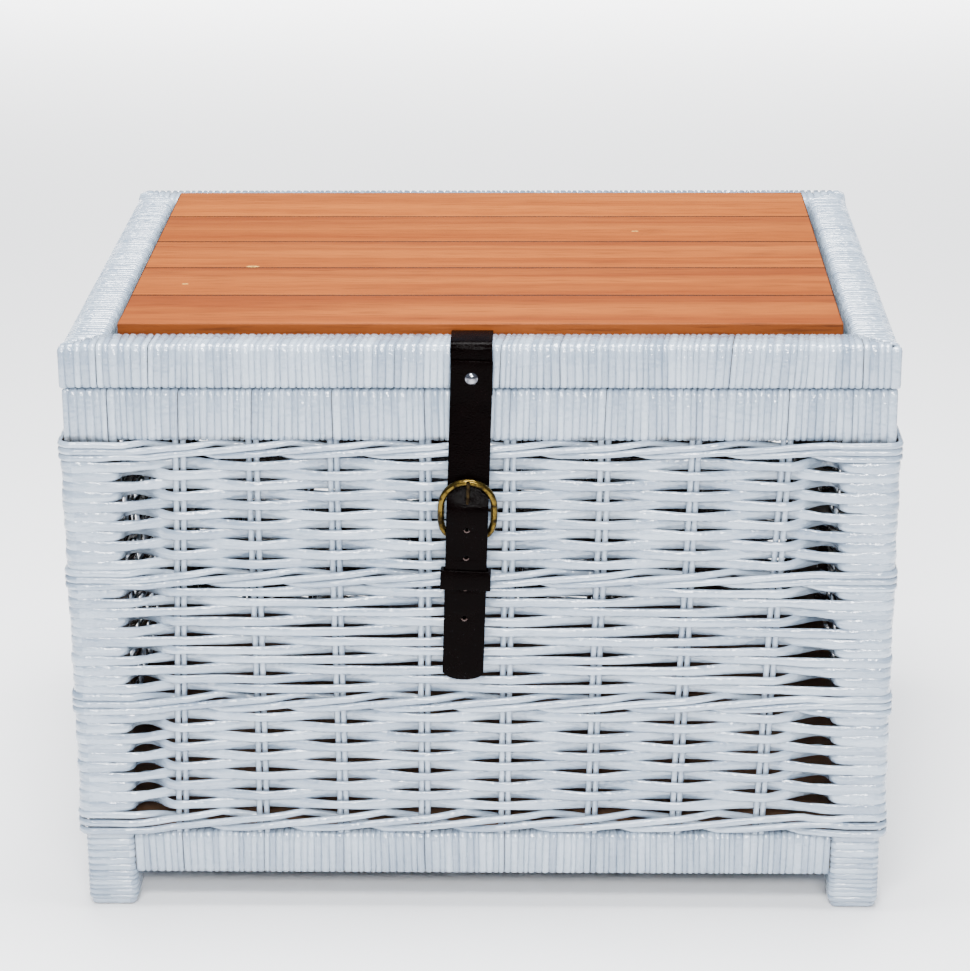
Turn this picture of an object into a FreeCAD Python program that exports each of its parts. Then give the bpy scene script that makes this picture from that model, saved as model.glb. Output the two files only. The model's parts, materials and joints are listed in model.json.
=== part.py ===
"""Wicker storage trunk: cane-bound frame, woven walls, slatted lid, leather strap with a buckle.

Row frame: +X right, +Y back, +Z up, millimetres. The origin lies on the floor under the middle of
the whole object, strap and hinges included, so the shell's own middle sits a little behind it.
"""
import FreeCAD, Part
import Sketcher
import math
import os
import re

os.makedirs("parts", exist_ok=True)

DIMENSIONS = {
    # shell
    "middle_y": 5.3,
    "body_width": 597,
    "body_depth": 457,
    "lid_width": 600,
    "lid_depth": 460,
    "post_side": 34,
    "lid_rail_width": 33,
    "cane": 1.75,
    "bound_round": 4,
    "foot_round": 7,
    # heights above the floor
    "rail_underside": 27,
    "wale_bottom_start": 62,
    "weave_lower_start": 81,
    "wale_lower_start": 159,
    "weave_middle_start": 176,
    "wale_upper_start": 258,
    "weave_upper_start": 274,
    "wale_top_start": 356,
    "top_rail_underside": 371,
    "body_top": 410.6,
    "lid_underside": 410.9,
    "lid_rim": 444.4,
    "slat_top": 450,
    # woven walls
    "weave_proud": 2.5,
    "wale_proud": 4,
    "weave_inset": 9,
    "stake_diameter": 4,
    "stake_inset": 4.5,
    "stake_spread": 7,
    "stake_socket": 10,
    "stake_pitch": 62,
    "front_stake_1": -222,
    "front_stake_2": -163.5,
    "front_stake_3": -105,
    "front_stake_4": -43,
    "front_stake_5": 19,
    "front_stake_6": 83.5,
    "front_stake_7": 147,
    "front_stake_8": 211.5,
    # base
    "base_thickness": 6,
    "bearer_width": 40,
    "bearer_height": 20,
    # slats and what holds them
    "slat_length": 522,
    "slat_thickness": 12,
    "slat_seam": 0.8,
    "slat_round": 1.5,
    "slat_width_1": 74,
    "slat_width_2": 76,
    "slat_width_3": 77,
    "slat_width_4": 78.5,
    "slat_width_5": 80.5,
    "batten_width": 40,
    "batten_height": 14,
    "batten_x": 170,
    "batten_screw_spread": 40,
    "screw_radius": 1.6,
    "screw_head_radius": 3.2,
    "screw_head_height": 1.6,
    "batten_screw_length": 22,
    # hinges
    "hinge_x": 180,
    "hinge_offset": 5.3,
    "hinge_length": 60,
    "leaf_height": 26,
    "leaf_thickness": 1.6,
    "leaf_gap": 0.6,
    "knuckle_radius": 3.4,
    "knuckle_gap": 0.3,
    "pin_radius": 1.45,
    "pin_play": 0.05,
    "pin_head_radius": 2.6,
    "pin_head_height": 1.2,
    "hinge_screw_length": 16,
    "hinge_screw_spread": 20,
    # leather and buckle, out from the lid's front face and down from the rivet
    "strap_x": -4.8,
    "rivet_height": 421,
    "strap_lean": 2,
    "strap_width": 30,
    "leather": 2.2,
    "leather_gap": 0.1,
    "rivet_radius": 4.5,
    "rivet_dome": 1.8,
    "rivet_shank": 2,
    "rivet_depth": 14,
    "bar_drop": 121,
    "bar_out": 7.3,
    "bar_radius": 2,
    "buckle_rod": 2.4,
    "buckle_half_width": 19,
    "buckle_height": 44.4,
    "buckle_tilt": 7.6,
    "prong_radius": 1.4,
    "prong_length": 49,
    "prong_tilt": 12.6,
    "prong_loop": 3.9,
    "prong_loop_width": 4.4,
    "keeper_drop": 157,
    "keeper_height": 15,
    "keeper_width": 36.4,
    "keeper_side": 2.6,
    "keeper_leather": 1.5,
    "keeper_back": 6.5,
    "keeper_front": 15.8,
}

doc = FreeCAD.newDocument("wicker_trunk")
dims = doc.addObject("Spreadsheet::Sheet", "dims")
for row, (alias, value) in enumerate(DIMENSIONS.items(), start=1):
    dims.set(f"A{row}", str(value))
    dims.setAlias(f"A{row}", alias)
doc.recompute()

parts = []


def formula(text):
    """The text as an expression of this document: each driving dimension is read from the sheet."""
    return re.sub(
        r"[a-z_][a-z_0-9]*",
        lambda word: f"dims.{word[0]}" if word[0] in DIMENSIONS else word[0],
        str(text),
    )


def bind(thing, **formulas):
    for name, text in formulas.items():
        thing.setExpression(name, formula(text))
    return thing


def place(thing, x="0", y="0", z="0"):
    """Puts a thing's own origin at a point given by formulas."""
    for axis, text in zip("xyz", (x, y, z)):
        thing.setExpression(f"Placement.Base.{axis}", formula(text))
    return thing


def turn(thing, axis, degrees):
    """Turns a thing about its own origin, by an angle given as a formula."""
    thing.Placement = FreeCAD.Placement(thing.Placement.Base, FreeCAD.Rotation(FreeCAD.Vector(*axis), 1))
    thing.setExpression("Placement.Rotation.Angle", formula(degrees))
    return thing


def keep(thing, label):
    """Makes a thing one of the object's sub-parts, under its node name."""
    thing.Label = label
    parts.append(thing)
    return thing


def dimension(alias):
    return float(DIMENSIONS[alias])


# ---------------------------------------------------------------- simple solids


def block(name, size, at):
    """A box centred on at's x and y, standing on at's z. All six are formulas."""
    thing = doc.addObject("Part::Box", name)
    bind(thing, Length=size[0], Width=size[1], Height=size[2])
    return place(thing, f"({at[0]}) - ({size[0]}) / 2", f"({at[1]}) - ({size[1]}) / 2", at[2])


def rod(name, radius, length, at, along=(0, 0, 1)):
    """A cylinder from at, along a row axis."""
    thing = doc.addObject("Part::Cylinder", name)
    bind(thing, Radius=radius, Height=length)
    thing.Placement = FreeCAD.Placement(
        FreeCAD.Vector(), FreeCAD.Rotation(FreeCAD.Vector(0, 0, 1), FreeCAD.Vector(*along))
    )
    return place(thing, *at)


def countersunk_screw(name, length, at, along):
    """A screw whose flat head lies at at, driven in along a row axis."""
    head = doc.addObject("Part::Cone", name + "_head")
    bind(head, Radius1="screw_head_radius", Radius2="screw_radius", Height="screw_head_height")
    shank = doc.addObject("Part::Cylinder", name + "_shank")
    bind(shank, Radius="screw_radius", Height=length)
    whole = join(name, [head, shank])
    whole.Placement = FreeCAD.Placement(
        FreeCAD.Vector(), FreeCAD.Rotation(FreeCAD.Vector(0, 0, 1), FreeCAD.Vector(*along))
    )
    return place(whole, *at)


def join(name, things):
    whole = doc.addObject("Part::MultiFuse", name)
    whole.Shapes = things
    return whole


def group(name, things):
    """Separate solids kept together in one node."""
    whole = doc.addObject("Part::Compound", name)
    whole.Links = things
    return whole


def cut(name, base, tools):
    whole = doc.addObject("Part::Cut", name)
    whole.Base = base
    whole.Tool = tools[0] if len(tools) == 1 else join(name + "_tools", tools)
    return whole


def eased(name, base, radius, chosen):
    """The base with the edges that chosen() picks rounded off."""
    doc.recompute()
    whole = doc.addObject("Part::Fillet", name)
    whole.Base = base
    size = dimension(radius)
    whole.Edges = [(n, size, size) for n, edge in enumerate(base.Shape.Edges, start=1) if chosen(edge)]
    return whole


def runs_along(axis):
    """Picks the edges that run along a row axis: 0, 1 or 2."""

    def chosen(edge):
        ends = [vertex.Point for vertex in edge.Vertexes]
        return len(ends) == 2 and abs(ends[1][axis] - ends[0][axis]) > 0.99 * edge.Length

    return chosen


def on_underside(edge):
    return all(vertex.Point.z < 0.01 for vertex in edge.Vertexes)


# ---------------------------------------------------------------- timber

PLANES = {"X": "YZ_Plane", "Y": "XZ_Plane", "Z": "XY_Plane"}


def timber(label, grain, across, upright, length, at, rounding=None):
    """A length of wood: a rectangle drawn square to its grain and padded both ways from its middle."""
    body = doc.addObject("PartDesign::Body", label)
    plane = next(f for f in body.Origin.OriginFeatures if f.Role == PLANES[grain])
    sketch = body.newObject("Sketcher::SketchObject", label + "_section")
    sketch.AttachmentSupport = (plane, [""])
    sketch.MapMode = "FlatFace"
    corners = [FreeCAD.Vector(x, y, 0) for x, y in ((-9, -9), (9, -9), (9, 9), (-9, 9))]
    for start in range(4):
        sketch.addGeometry(Part.LineSegment(corners[start], corners[(start + 1) % 4]), False)
    constraint = Sketcher.Constraint
    for start in range(4):
        sketch.addConstraint(constraint("Coincident", start, 2, (start + 1) % 4, 1))
    sketch.addConstraint([constraint("Horizontal", 0), constraint("Horizontal", 2)])
    sketch.addConstraint([constraint("Vertical", 1), constraint("Vertical", 3)])
    sketch.addConstraint(constraint("Symmetric", 0, 1, 2, 1, -1, 1))
    wide = sketch.addConstraint(constraint("DistanceX", 0, 1, 0, 2, 18))
    tall = sketch.addConstraint(constraint("DistanceY", 1, 1, 1, 2, 18))
    sketch.setExpression(f"Constraints[{wide}]", formula(across))
    sketch.setExpression(f"Constraints[{tall}]", formula(upright))
    pad = body.newObject("PartDesign::Pad", label + "_length")
    pad.Profile = sketch
    pad.Midplane = True
    bind(pad, Length=length)
    if rounding:
        doc.recompute()
        soft = body.newObject("PartDesign::Fillet", label + "_edges")
        along = runs_along("XYZ".index(grain))
        names = [f"Edge{n}" for n, edge in enumerate(pad.Shape.Edges, start=1) if along(edge)]
        soft.Base = (pad, names)
        bind(soft, Radius=rounding)
        body.Tip = soft
    return keep(place(body, *at), label)


SIDES = {"left": -1, "right": 1}
ENDS = {"front": -1, "rear": 1}
POST_X = "(body_width / 2 - cane - post_side / 2)"
POST_Y = "(body_depth / 2 - cane - post_side / 2)"
BETWEEN_POSTS_X = "body_width - 2 * (cane + post_side)"
BETWEEN_POSTS_Y = "body_depth - 2 * (cane + post_side)"

posts = [
    timber(
        f"post_{end}_{side}", "Z", "post_side", "post_side", "body_top - 2 * cane",
        (f"{s} * {POST_X}", f"middle_y + {e} * {POST_Y}", "body_top / 2"),
    )
    for end, e in ENDS.items() for side, s in SIDES.items()
]


def ring_of_rails(name, low, high):
    """Four rails between the posts, bound from low to high."""
    tall = f"({high}) - ({low}) - 2 * cane"
    middle = f"(({low}) + ({high})) / 2"
    rails = {}
    for end, e in ENDS.items():
        spot = ("0", f"middle_y + {e} * {POST_Y}", middle)
        rails[end] = timber(f"{name}_{end}", "X", "post_side", tall, BETWEEN_POSTS_X, spot)
    for side, s in SIDES.items():
        spot = (f"{s} * {POST_X}", "middle_y", middle)
        rails[side] = timber(f"{name}_{side}", "Y", "post_side", tall, BETWEEN_POSTS_Y, spot)
    return rails


top_rails = ring_of_rails("top_rail", "top_rail_underside", "body_top")
bottom_rails = ring_of_rails("bottom_rail", "rail_underside", "wale_bottom_start")

# ---------------------------------------------------------------- cane binding round the frame

BOUND = "(post_side + 2 * cane)"


def sleeve(name, size, at, axis, inside):
    """The cane wound round wood: a rounded jacket with the wood taken out of it."""
    jacket = block(name + "_jacket", size, at)
    return cut(name, eased(name + "_eased", jacket, "bound_round", runs_along(axis)), inside)


top_height = "body_top - top_rail_underside"
for end, e in ENDS.items():
    spot = ("0", f"middle_y + {e} * {POST_Y}", "top_rail_underside")
    wood = [top_rails[end], top_rails["left"], top_rails["right"]] + [p for p in posts if end in p.Label]
    keep(sleeve(f"top_rail_binding_{end}_cane", ("body_width", BOUND, top_height), spot, 0, wood),
         f"top_rail_binding_{end}")
for side, s in SIDES.items():
    spot = (f"{s} * {POST_X}", "middle_y", "top_rail_underside")
    length = f"body_depth - 2 * {BOUND}"
    keep(sleeve(f"top_rail_binding_{side}_cane", (BOUND, length, top_height), spot, 1, [top_rails[side]]),
         f"top_rail_binding_{side}")

bottom_height = "wale_bottom_start - rail_underside"
bottom_sleeves = []
for end, e in ENDS.items():
    spot = ("0", f"middle_y + {e} * {POST_Y}", "rail_underside")
    size = (f"body_width - 2 * {BOUND}", BOUND, bottom_height)
    bottom_sleeves.append(sleeve(f"bottom_binding_{end}", size, spot, 0, [bottom_rails[end]]))
for side, s in SIDES.items():
    spot = (f"{s} * {POST_X}", "middle_y", "rail_underside")
    size = (BOUND, f"body_depth - 2 * {BOUND}", bottom_height)
    bottom_sleeves.append(sleeve(f"bottom_binding_{side}", size, spot, 1, [bottom_rails[side]]))
keep(group("bottom_bindings", bottom_sleeves), "bottom_rail_bindings")

leg_sleeves = []
for post in posts:
    end, side = post.Label.split("_")[1:]
    spot = (f"{SIDES[side]} * {POST_X}", f"middle_y + {ENDS[end]} * {POST_Y}", "0")
    jacket = block(f"leg_jacket_{end}_{side}", (BOUND, BOUND, "wale_bottom_start"), spot)
    upright = eased(f"leg_upright_{end}_{side}", jacket, "bound_round", runs_along(2))
    foot = eased(f"leg_foot_{end}_{side}", upright, "bound_round", on_underside)
    leg_sleeves.append(cut(f"leg_{end}_{side}", foot, [post, bottom_rails[end], bottom_rails[side]]))
keep(group("legs", leg_sleeves), "leg_bindings")

# ---------------------------------------------------------------- stakes and woven bands

STAKE_LOW = "wale_bottom_start - stake_socket"
STAKE_LENGTH = "top_rail_underside - wale_bottom_start + 2 * stake_socket"
FRONT_PAIRS = [f"front_stake_{n}" for n in range(1, 9)]
SIDE_PAIRS = [f"{n} * stake_pitch" for n in (-2.5, -1.5, -0.5, 0.5, 1.5, 2.5)]


def stake_pair(name, x, y, dx, dy):
    """Two thin rods side by side, dx or dy apart."""
    return [
        rod(f"{name}_{k}", "stake_diameter / 2", STAKE_LENGTH,
            (f"{x} + {sign} * {dx} / 2", f"{y} + {sign} * {dy} / 2", STAKE_LOW))
        for k, sign in (("a", -1), ("b", 1))
    ]


for end, e in ENDS.items():
    y = f"middle_y + {e} * (body_depth / 2 - stake_inset)"
    rods = [
        r for n, x in enumerate(FRONT_PAIRS)
        for r in stake_pair(f"stake_{end}_{n}", x, y, "stake_spread", "0")
    ]
    keep(group(f"stakes_{end}_rods", rods), f"stakes_{end}")
for side, s in SIDES.items():
    x = f"{s} * (body_width / 2 - stake_inset)"
    rods = [
        r for n, y in enumerate(SIDE_PAIRS)
        for r in stake_pair(f"stake_{side}_{n}", x, f"middle_y + {y}", "0", "stake_spread")
    ]
    keep(group(f"stakes_{side}_rods", rods), f"stakes_{side}")


def band(label, low, high, proud):
    """One woven band round all four walls: it stands proud of the posts and closes over the stakes."""
    tall = f"{high} - {low}"
    outside = block(label + "_outside", (f"body_width + 2 * {proud}", f"body_depth + 2 * {proud}", tall),
                    ("0", "middle_y", low))
    inside = block(label + "_inside", ("body_width - 2 * weave_inset", "body_depth - 2 * weave_inset", tall),
                   ("0", "middle_y", low))
    skin = eased(label + "_skin", outside, "foot_round", runs_along(2))
    keep(cut(label + "_band", skin, [inside] + posts), label)


BANDS = [
    ("wale_bottom", "wale_proud"), ("weave_lower", "weave_proud"), ("wale_lower", "wale_proud"),
    ("weave_middle", "weave_proud"), ("wale_upper", "wale_proud"), ("weave_upper", "weave_proud"),
    ("wale_top", "wale_proud"),
]
band_starts = [f"{name}_start" for name, _ in BANDS] + ["top_rail_underside"]
for (name, proud), low, high in zip(BANDS, band_starts, band_starts[1:]):
    band(name, low, high, proud)

# ---------------------------------------------------------------- base

floor_board = block("base_board",
                    ("body_width - 2 * weave_inset", "body_depth - 2 * weave_inset", "base_thickness"),
                    ("0", "middle_y", "wale_bottom_start"))
keep(cut("base_board_notched", floor_board, posts), "base_panel")
timber("base_bearer", "Y", "bearer_width", "bearer_height", f"body_depth - 2 * {BOUND}",
       ("0", "middle_y", "wale_bottom_start - bearer_height / 2"))

# ---------------------------------------------------------------- lid

LID_FRONT = "middle_y - lid_depth / 2"
LID_RAIL_Y = "(lid_depth / 2 - lid_rail_width / 2)"
LID_RAIL_X = "(lid_width / 2 - lid_rail_width / 2)"
LID_HEIGHT = "lid_rim - lid_underside"
LID_MIDDLE = "(lid_rim + lid_underside) / 2"
LID_CORE = "lid_rail_width - 2 * cane"

lid_rails = {}
for end, e in ENDS.items():
    spot = ("0", f"middle_y + {e} * {LID_RAIL_Y}", LID_MIDDLE)
    lid_rails[end] = timber(f"lid_rail_{end}", "X", LID_CORE, f"{LID_HEIGHT} - 2 * cane",
                            "lid_width - 2 * cane", spot)
for side, s in SIDES.items():
    spot = (f"{s} * {LID_RAIL_X}", "middle_y", LID_MIDDLE)
    lid_rails[side] = timber(f"lid_rail_{side}", "Y", LID_CORE, f"{LID_HEIGHT} - 2 * cane",
                             "lid_depth - 2 * (lid_rail_width - cane)", spot)
for end, e in ENDS.items():
    spot = ("0", f"middle_y + {e} * {LID_RAIL_Y}", "lid_underside")
    size = ("lid_width", "lid_rail_width", LID_HEIGHT)
    wood = [lid_rails[end], lid_rails["left"], lid_rails["right"]]
    keep(sleeve(f"lid_binding_{end}_cane", size, spot, 0, wood), f"lid_binding_{end}")
for side, s in SIDES.items():
    spot = (f"{s} * {LID_RAIL_X}", "middle_y", "lid_underside")
    size = ("lid_rail_width", "lid_depth - 2 * lid_rail_width", LID_HEIGHT)
    keep(sleeve(f"lid_binding_{side}_cane", size, spot, 1, [lid_rails[side]]), f"lid_binding_{side}")

SLATS = range(1, 6)
slat_widths = [f"slat_width_{n}" for n in SLATS]
panel_depth = " + ".join(slat_widths) + " + 4 * slat_seam"
slat_middles = []
for n in SLATS:
    before = " + ".join(slat_widths[: n - 1]) or "0"
    slat_middles.append(
        f"middle_y - ({panel_depth}) / 2 + {before} + {n - 1} * slat_seam + {slat_widths[n - 1]} / 2"
    )
for n, y in zip(SLATS, slat_middles):
    timber(f"lid_slat_{n}", "X", slat_widths[n - 1], "slat_thickness", "slat_length",
           ("0", y, "slat_top - slat_thickness / 2"), "slat_round")
BATTEN_LOW = "slat_top - slat_thickness - batten_height"
for side, s in SIDES.items():
    timber(f"lid_batten_{side}", "Y", "batten_width", "batten_height", "lid_depth - 2 * lid_rail_width",
           (f"{s} * batten_x", "middle_y", f"{BATTEN_LOW} + batten_height / 2"))
batten_screws = [
    countersunk_screw(
        f"batten_screw_{side}_{n}_{k}", "batten_screw_length",
        (f"{s} * batten_x", f"{y} + {k} * batten_screw_spread / 2", BATTEN_LOW), (0, 0, 1),
    )
    for side, s in SIDES.items() for n, y in zip(SLATS, slat_middles) for k in (-1, 1)
]
keep(group("batten_screws", batten_screws), "lid_batten_screws")

# ---------------------------------------------------------------- hinges

HINGE_Y = "(middle_y + lid_depth / 2 + hinge_offset)"
HINGE_Z = "((body_top + lid_underside) / 2)"
KNUCKLE = "(hinge_length - 2 * knuckle_gap) / 3"
SCREW_PLACES = (-1, 0, 1)


def leaf(name, x, back, way, knuckles):
    """One hinge leaf on the face at back, below (way -1) or above (way 1) the pin, with its knuckles."""
    low = f"{HINGE_Z} + leaf_gap" if way > 0 else f"{HINGE_Z} - leaf_gap - leaf_height"
    plate = block(name + "_plate", ("hinge_length", "leaf_thickness", "leaf_height"),
                  (x, f"{back} + leaf_thickness / 2", low))
    pieces = [plate]
    for place_along in knuckles:
        middle = f"{x} + {place_along} * ({KNUCKLE} + knuckle_gap)"
        reach = f"({HINGE_Y} - ({back}))"
        web_low = f"{HINGE_Z} - knuckle_radius"
        if way > 0:
            web_low = f"{HINGE_Z} + knuckle_radius - leaf_thickness"
        pieces.append(block(f"{name}_web_{place_along + 1}", (KNUCKLE, reach, "leaf_thickness"),
                            (middle, f"{back} + {reach} / 2", web_low)))
        pieces.append(rod(f"{name}_knuckle_{place_along + 1}", "knuckle_radius", KNUCKLE,
                          (f"{middle} - {KNUCKLE} / 2", HINGE_Y, HINGE_Z), (1, 0, 0)))
    bore = rod(name + "_bore", "pin_radius + pin_play", "hinge_length + 2",
               (f"{x} - hinge_length / 2 - 1", HINGE_Y, HINGE_Z), (1, 0, 0))
    screws = [
        countersunk_screw(f"{name}_screw_{n + 1}", "hinge_screw_length",
                          (f"{x} + {n} * hinge_screw_spread", f"{back} + leaf_thickness",
                           f"{HINGE_Z} + {way} * (leaf_gap + leaf_height * 0.55)"), (0, -1, 0))
        for n in SCREW_PLACES
    ]
    return cut(name, join(name + "_solid", pieces), [bore] + screws), screws


body_leaves, body_screws, lid_leaves, lid_screws, pins = [], [], [], [], []
for side, s in SIDES.items():
    x = f"{s} * hinge_x"
    fixed, screws = leaf(f"fixed_leaf_{side}", x, "(middle_y + body_depth / 2)", -1, (-1, 1))
    body_leaves.append(fixed)
    body_screws += screws
    moving, screws = leaf(f"lid_leaf_{side}", x, "(middle_y + lid_depth / 2)", 1, (0,))
    lid_leaves.append(moving)
    lid_screws += screws
    shaft = rod(f"pin_shaft_{side}", "pin_radius", "hinge_length + pin_head_height",
                (f"{x} - hinge_length / 2", HINGE_Y, HINGE_Z), (1, 0, 0))
    head = rod(f"pin_head_{side}", "pin_head_radius", "pin_head_height",
               (f"{x} - hinge_length / 2 - pin_head_height", HINGE_Y, HINGE_Z), (1, 0, 0))
    pins.append(join(f"pin_{side}", [shaft, head]))
keep(group("fixed_leaves", body_leaves), "hinge_fixed_leaves")
keep(group("lid_leaves", lid_leaves), "hinge_lid_leaves")
keep(group("pins", pins), "hinge_pins")
keep(group("body_screws", body_screws), "hinge_body_screws")
keep(group("lid_screws", lid_screws), "hinge_lid_screws")

# ---------------------------------------------------------------- leather straps
# Each is drawn in its own frame: origin at the rivet on the lid's front face, y back, z up.


def on_the_front(thing, lean):
    """Moves a piece drawn in the strap's frame to the front of the trunk."""
    if lean:
        turn(thing, (0, 1, 0), "strap_lean")
    return place(thing, "strap_x", LID_FRONT, "rivet_height")


def ribbon(line, thickness, width):
    """Leather of one thickness whose inner face follows a line of (out, up) points, over the top and down."""
    spine = [(-out, up) for out, up in line]
    normals = []
    for (y1, z1), (y2, z2) in zip(spine, spine[1:]):
        length = math.hypot(y2 - y1, z2 - z1)
        normals.append(((z2 - z1) / length, (y1 - y2) / length))
    outer = []
    for n, (y, z) in enumerate(spine):
        a = normals[max(n - 1, 0)]
        b = normals[min(n, len(normals) - 1)]
        share = thickness / (1 + a[0] * b[0] + a[1] * b[1])
        outer.append((y + (a[0] + b[0]) * share, z + (a[1] + b[1]) * share))
    outline = [FreeCAD.Vector(-width / 2, y, z) for y, z in spine + outer[::-1]]
    face = Part.Face(Part.makePolygon(outline + outline[:1]))
    return face.extrude(FreeCAD.Vector(width, 0, 0))


def round_bend(centre, radius, start, end, steps=6):
    """Points round a bend, from one angle to another: 0 points outward and 90 up."""
    turns = [math.radians(start + (end - start) * n / steps) for n in range(steps + 1)]
    return [(centre[0] + radius * math.cos(a), centre[1] + radius * math.sin(a)) for a in turns]


def strap_feature(label, shape, lean):
    thing = doc.addObject("Part::Feature", label + "_leather")
    thing.Shape = shape
    return keep(on_the_front(thing, lean), label)


leather = dimension("leather")
gap = dimension("leather_gap")
width = dimension("strap_width")
soft = dimension("bound_round")
rim_up = dimension("lid_rim") - dimension("rivet_height")
rail_deep = dimension("lid_rail_width")

tab_line = [(-rail_deep - gap, rim_up - 18)]
tab_line += round_bend((soft - rail_deep, rim_up - soft), soft + gap, 180, 90)
tab_line += round_bend((-soft, rim_up - soft), soft + gap, 90, 0)
tab_line += [(gap, -13)]
tab = ribbon(tab_line, leather, width)
rivet_hole = Part.makeCylinder(
    dimension("rivet_shank") + 0.05, 30, FreeCAD.Vector(0, 10, 0), FreeCAD.Vector(0, -1, 0)
)
strap_feature("strap_tab", tab.cut(rivet_hole), lean=False)

bar_up = -dimension("bar_drop")
bar_out = dimension("bar_out")
loop_inner = dimension("bar_radius") + gap
chape_front = bar_out + loop_inner
strap_over_bar = chape_front + leather + 2 * gap
TIP_UP = -231
strap_over_tab = leather + 2 * gap
strap_line = [
    (strap_over_tab, 13), (strap_over_tab, -18), (strap_over_tab + 1, -34),
    (strap_over_bar - 4.8, bar_up + 33),
    (strap_over_bar - 0.9, bar_up + 15), (strap_over_bar, bar_up + 6), (strap_over_bar, bar_up - 40),
    (strap_over_bar - 1.5, bar_up - 62), (strap_over_bar - 4.2, TIP_UP),
]
strap = ribbon(strap_line, leather, width)
tip_centre = FreeCAD.Vector(0, 0, TIP_UP + width / 2)
tip_round = Part.makeCylinder(
    width / 2, 60, tip_centre + FreeCAD.Vector(0, 10, 0), FreeCAD.Vector(0, -1, 0)
)
tip_block = Part.makeBox(width, 60, width / 2 + 5, FreeCAD.Vector(-width / 2, -50, TIP_UP - 5))
strap = strap.cut(tip_block.cut(tip_round))
HOLE_RADIUS = 2
for up in (-120, -141.5, -163, -185):
    punch = Part.makeCylinder(HOLE_RADIUS, 60, FreeCAD.Vector(0, 10, up), FreeCAD.Vector(0, -1, 0))
    strap = strap.cut(punch)
PRONG_SLOT = (5.2, 60, 23)
prong_slot = Part.makeBox(*PRONG_SLOT, FreeCAD.Vector(-PRONG_SLOT[0] / 2, -50, bar_up + 8))
rivet_clearance = Part.makeCylinder(
    dimension("rivet_shank") + 0.3, 30, FreeCAD.Vector(0, 10, 0), FreeCAD.Vector(0, -1, 0)
)
strap_feature("lid_strap", strap.cut(prong_slot).cut(rivet_clearance), lean=True)

CHAPE_END = -210
CHAPE_FOLD_END = -172
chape_line = [(bar_out - loop_inner, CHAPE_END)]
chape_line += round_bend((bar_out, bar_up), loop_inner, 180, 0, steps=12)
chape_back = bar_out - loop_inner + 0.05
chape_line += [(chape_front, -159), (chape_back, -167), (chape_back, CHAPE_FOLD_END)]
chape = ribbon(chape_line, leather, width)
PRONG_GAP = (7, 30, 19)
prong_gap = Part.makeBox(*PRONG_GAP, FreeCAD.Vector(-PRONG_GAP[0] / 2, -25, bar_up - 10))
chape_rivet_hole = Part.makeCylinder(
    dimension("rivet_shank") + 0.05, 40, FreeCAD.Vector(0, 20, -199), FreeCAD.Vector(0, -1, 0)
)
strap_feature("body_strap", chape.cut(prong_gap).cut(chape_rivet_hole), lean=True)


def rivet(name, out, up, shank_length):
    """A domed rivet whose flange lies at out from the lid's face."""
    cap_radius = "((rivet_radius ^ 2 + rivet_dome ^ 2) / (2 * rivet_dome))"
    cap = doc.addObject("Part::Sphere", name + "_cap")
    bind(cap, Radius=cap_radius, Angle1=f"asin(({cap_radius} - rivet_dome) / {cap_radius})")
    cap.Placement = FreeCAD.Placement(
        FreeCAD.Vector(), FreeCAD.Rotation(FreeCAD.Vector(0, 0, 1), FreeCAD.Vector(0, -1, 0))
    )
    place(cap, "0", f"-({out}) + {cap_radius} - rivet_dome", up)
    shank = rod(name + "_shank", "rivet_shank", shank_length, ("0", f"-({out})", up), (0, 1, 0))
    return join(name, [cap, shank])


strap_rivet = rivet("lid_rivet", "2 * leather + 3 * leather_gap", "0", "rivet_depth")
keep(on_the_front(strap_rivet, lean=True), "strap_rivet")
chape_rivet = rivet("chape_rivet", "bar_out - bar_radius", "-199", "rivet_depth")
keep(on_the_front(chape_rivet, lean=True), "body_strap_rivet")

# ---------------------------------------------------------------- buckle, prong and keeper


def about_the_bar(things, tilt, name, slot=None):
    """Tilts pieces drawn upright on the bar, then carries them to the bar."""
    whole = join(name + "_pieces", things)
    if slot:
        whole = cut(name + "_bored", whole, [slot])
    turn(whole, (1, 0, 0), tilt)
    place(whole, "0", "-bar_out", "-bar_drop")
    return on_the_front(group(name, [whole]), lean=True)


half = "buckle_half_width"
leg = f"(buckle_height - {half})"
arc = doc.addObject("Part::Torus", "buckle_arc")
bind(arc, Radius1=half, Radius2="buckle_rod")
arc.Angle3 = 180
arc.Placement = FreeCAD.Placement(FreeCAD.Vector(), FreeCAD.Rotation(FreeCAD.Vector(1, 0, 0), 90))
place(arc, "0", "0", leg)
frame_pieces = [arc, rod("buckle_bar", "bar_radius", f"2 * {half}", (f"-{half}", "0", "0"), (1, 0, 0))]
for side, s in SIDES.items():
    frame_pieces.append(rod(f"buckle_side_{side}", "buckle_rod", leg, (f"{s} * {half}", "0", "0")))
    corner = doc.addObject("Part::Sphere", f"buckle_corner_{side}")
    bind(corner, Radius="buckle_rod")
    frame_pieces.append(place(corner, f"{s} * {half}"))
keep(about_the_bar(frame_pieces, "buckle_tilt", "buckle"), "buckle_frame")

prong_loop = rod("prong_ring", "prong_loop", "prong_loop_width",
                 ("-prong_loop_width / 2", "0", "0"), (1, 0, 0))
prong_bore = rod("prong_bore", "bar_radius + pin_play", "2 * prong_loop_width",
                 ("-prong_loop_width", "0", "0"), (1, 0, 0))
prong_rod = rod("prong_rod", "prong_radius", "prong_length", ("0", "0", "0"))
keep(about_the_bar([prong_loop, prong_rod], "prong_tilt", "prong", slot=prong_bore), "buckle_prong")

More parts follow.
